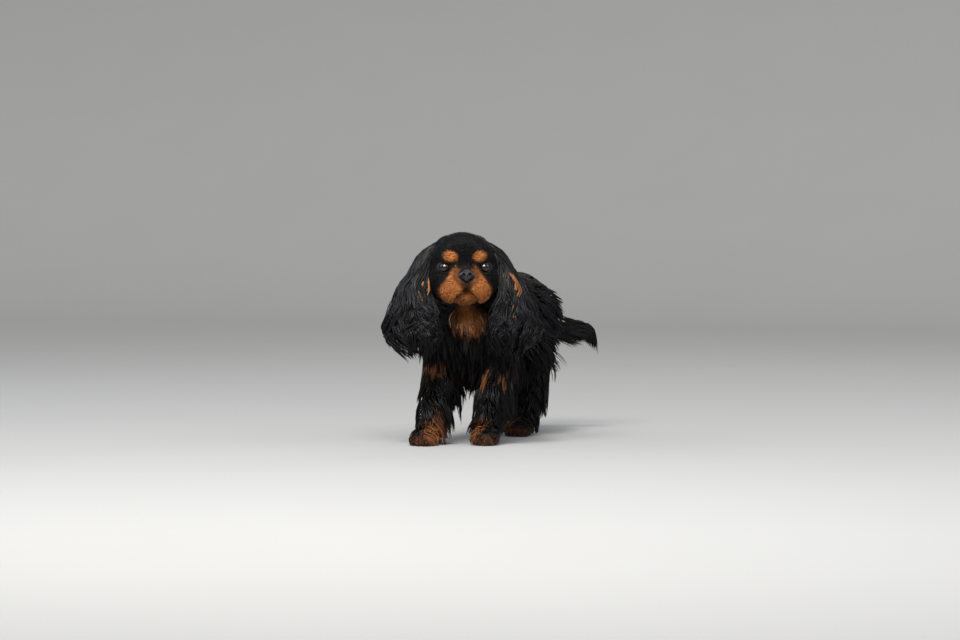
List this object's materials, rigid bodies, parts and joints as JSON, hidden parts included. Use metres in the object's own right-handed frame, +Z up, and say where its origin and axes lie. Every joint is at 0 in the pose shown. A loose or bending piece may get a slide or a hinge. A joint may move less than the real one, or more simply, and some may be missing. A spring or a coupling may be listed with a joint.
{
  "type": "cavalier king charles spaniel",
  "caption": "Standing black and tan spaniel dog with long silky ears, feathered legs and a plumed tail, head turned a little to its left",
  "frame": {"origin": "middle of the bounding box, on the floor under the paws", "axes": "+Z up, the dog faces -Y, its left side is +X, +Y runs from head to tail"},
  "size_m": [0.256, 0.5396, 0.3571],
  "materials": {
    "coat": "silky",
    "nose_leather": "moist",
    "eye": "gloss"
  },
  "bodies": {
    "root": {"head": "coat", "neck": "coat", "torso": "coat", "leg_front_left": "coat", "leg_front_right": "coat", "leg_hind_left": "coat", "leg_hind_right": "coat", "ear_left": "coat", "ear_right": "coat", "tail": "coat", "nose": "nose_leather", "eye_left": "eye", "eye_right": "eye"}
  },
  "joints": []
}
